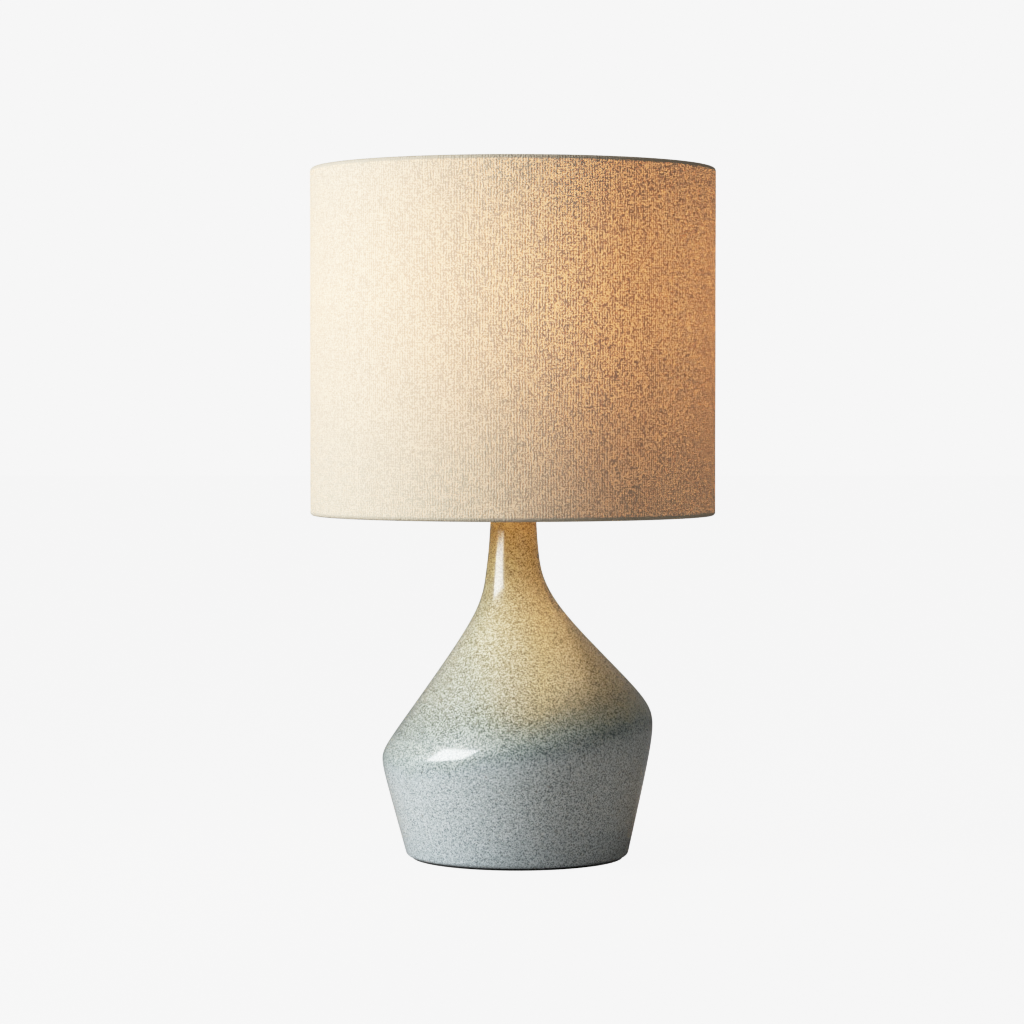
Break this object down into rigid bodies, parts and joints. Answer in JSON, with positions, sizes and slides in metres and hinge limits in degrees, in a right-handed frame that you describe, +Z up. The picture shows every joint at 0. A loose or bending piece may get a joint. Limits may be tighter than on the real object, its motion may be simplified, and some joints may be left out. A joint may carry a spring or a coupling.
{
  "type": "table lamp",
  "caption": "Table lamp: glazed ceramic base with a slender neck and tilted shoulder, lampholder with bulb, wire harp, and a linen drum shade held by a finial.",
  "frame": {"origin": "on the floor under the lamp pipe's axis, which is also the shade's axis", "axes": "+Z up the lamp pipe; -Y is the front, with the switch knob; +X is the shoulder's high side; the cord outlet faces +Y"},
  "size_m": [0.28, 0.28, 0.482],
  "materials": {
    "felt": "pressed felt",
    "glaze": "glossy speckled glaze",
    "plate_steel": "zinc plated",
    "brass": "plain turned brass",
    "nickel": "satin nickel plate",
    "rubber": "matte black",
    "phenolic": "black moulded phenolic",
    "card": "pressed fibre sheet",
    "knob": "black moulded plastic",
    "opal": "white frosted bulb glass",
    "clear": "clear glass",
    "filament": "drawn tungsten",
    "linen": "oatmeal linen weave",
    "liner": "white styrene sheet",
    "white_wire": "white enamel"
  },
  "bodies": {
    "base": {"felt_pad": "felt", "ceramic_body": "glaze", "base_plate": "plate_steel", "spring_washer": "plate_steel", "bottom_nut": "brass", "lamp_pipe": "plate_steel", "cord_bushing": "rubber", "neck_gasket": "rubber", "vase_cap": "nickel", "harp_saddle": "nickel", "lock_nut": "brass", "socket_cap": "brass", "cap_set_screw": "plate_steel", "socket_shell": "brass", "paper_insulator": "card", "switch_block": "phenolic", "block_rivets": "brass", "terminal_screws": "brass", "contact_strip": "brass", "screw_shell": "nickel"},
    "switch": {"switch_shaft": "plate_steel", "switch_rotor": "phenolic", "switch_knob": "knob"},
    "bulb": {"bulb_glass": "opal", "bulb_screw_cap": "nickel", "bulb_insulator": "phenolic", "bulb_contact": "plate_steel", "bulb_stem": "clear", "bulb_lead_wires": "filament", "bulb_filament": "filament"},
    "harp": {"harp_wire": "nickel", "harp_top_block": "nickel"},
    "sleeve_left": {"harp_sleeve_left": "nickel"},
    "sleeve_right": {"harp_sleeve_right": "nickel"},
    "swivel": {"harp_stud": "brass"},
    "shade": {"shade_linen": "linen", "shade_liner": "liner", "shade_spider": "white_wire", "shade_upper_ring": "white_wire", "shade_lower_ring": "white_wire"},
    "finial": {"finial": "brass"}
  },
  "joints": [
    {"name": "switch_turn", "type": "hinge", "parent": "base", "child": "switch", "pos_m": [0, -0.02, 0.292], "axis": [0, -1, 0], "continuous": true},
    {"name": "bulb_unscrew", "type": "slide", "parent": "base", "child": "bulb", "axis": [0, 0, 1], "range_m": [0, 0.027]},
    {"name": "harp_lift", "type": "slide", "parent": "base", "child": "harp", "axis": [0, 0, 1], "range_m": [0, 0.02]},
    {"name": "sleeve_left_lift", "type": "slide", "parent": "harp", "child": "sleeve_left", "axis": [0, 0, 1], "range_m": [0, 0.012]},
    {"name": "sleeve_right_lift", "type": "slide", "parent": "harp", "child": "sleeve_right", "axis": [0, 0, 1], "range_m": [0, 0.012]},
    {"name": "shade_swivel", "type": "hinge", "parent": "harp", "child": "swivel", "pos_m": [0, 0, 0.455], "axis": [0, 0, 1], "continuous": true},
    {"name": "shade_lift", "type": "slide", "parent": "swivel", "child": "shade", "axis": [0, 0, 1], "range_m": [0, 0.24]},
    {"name": "finial_unscrew", "type": "slide", "parent": "shade", "child": "finial", "axis": [0, 0, 1], "range_m": [0, 0.016]}
  ]
}
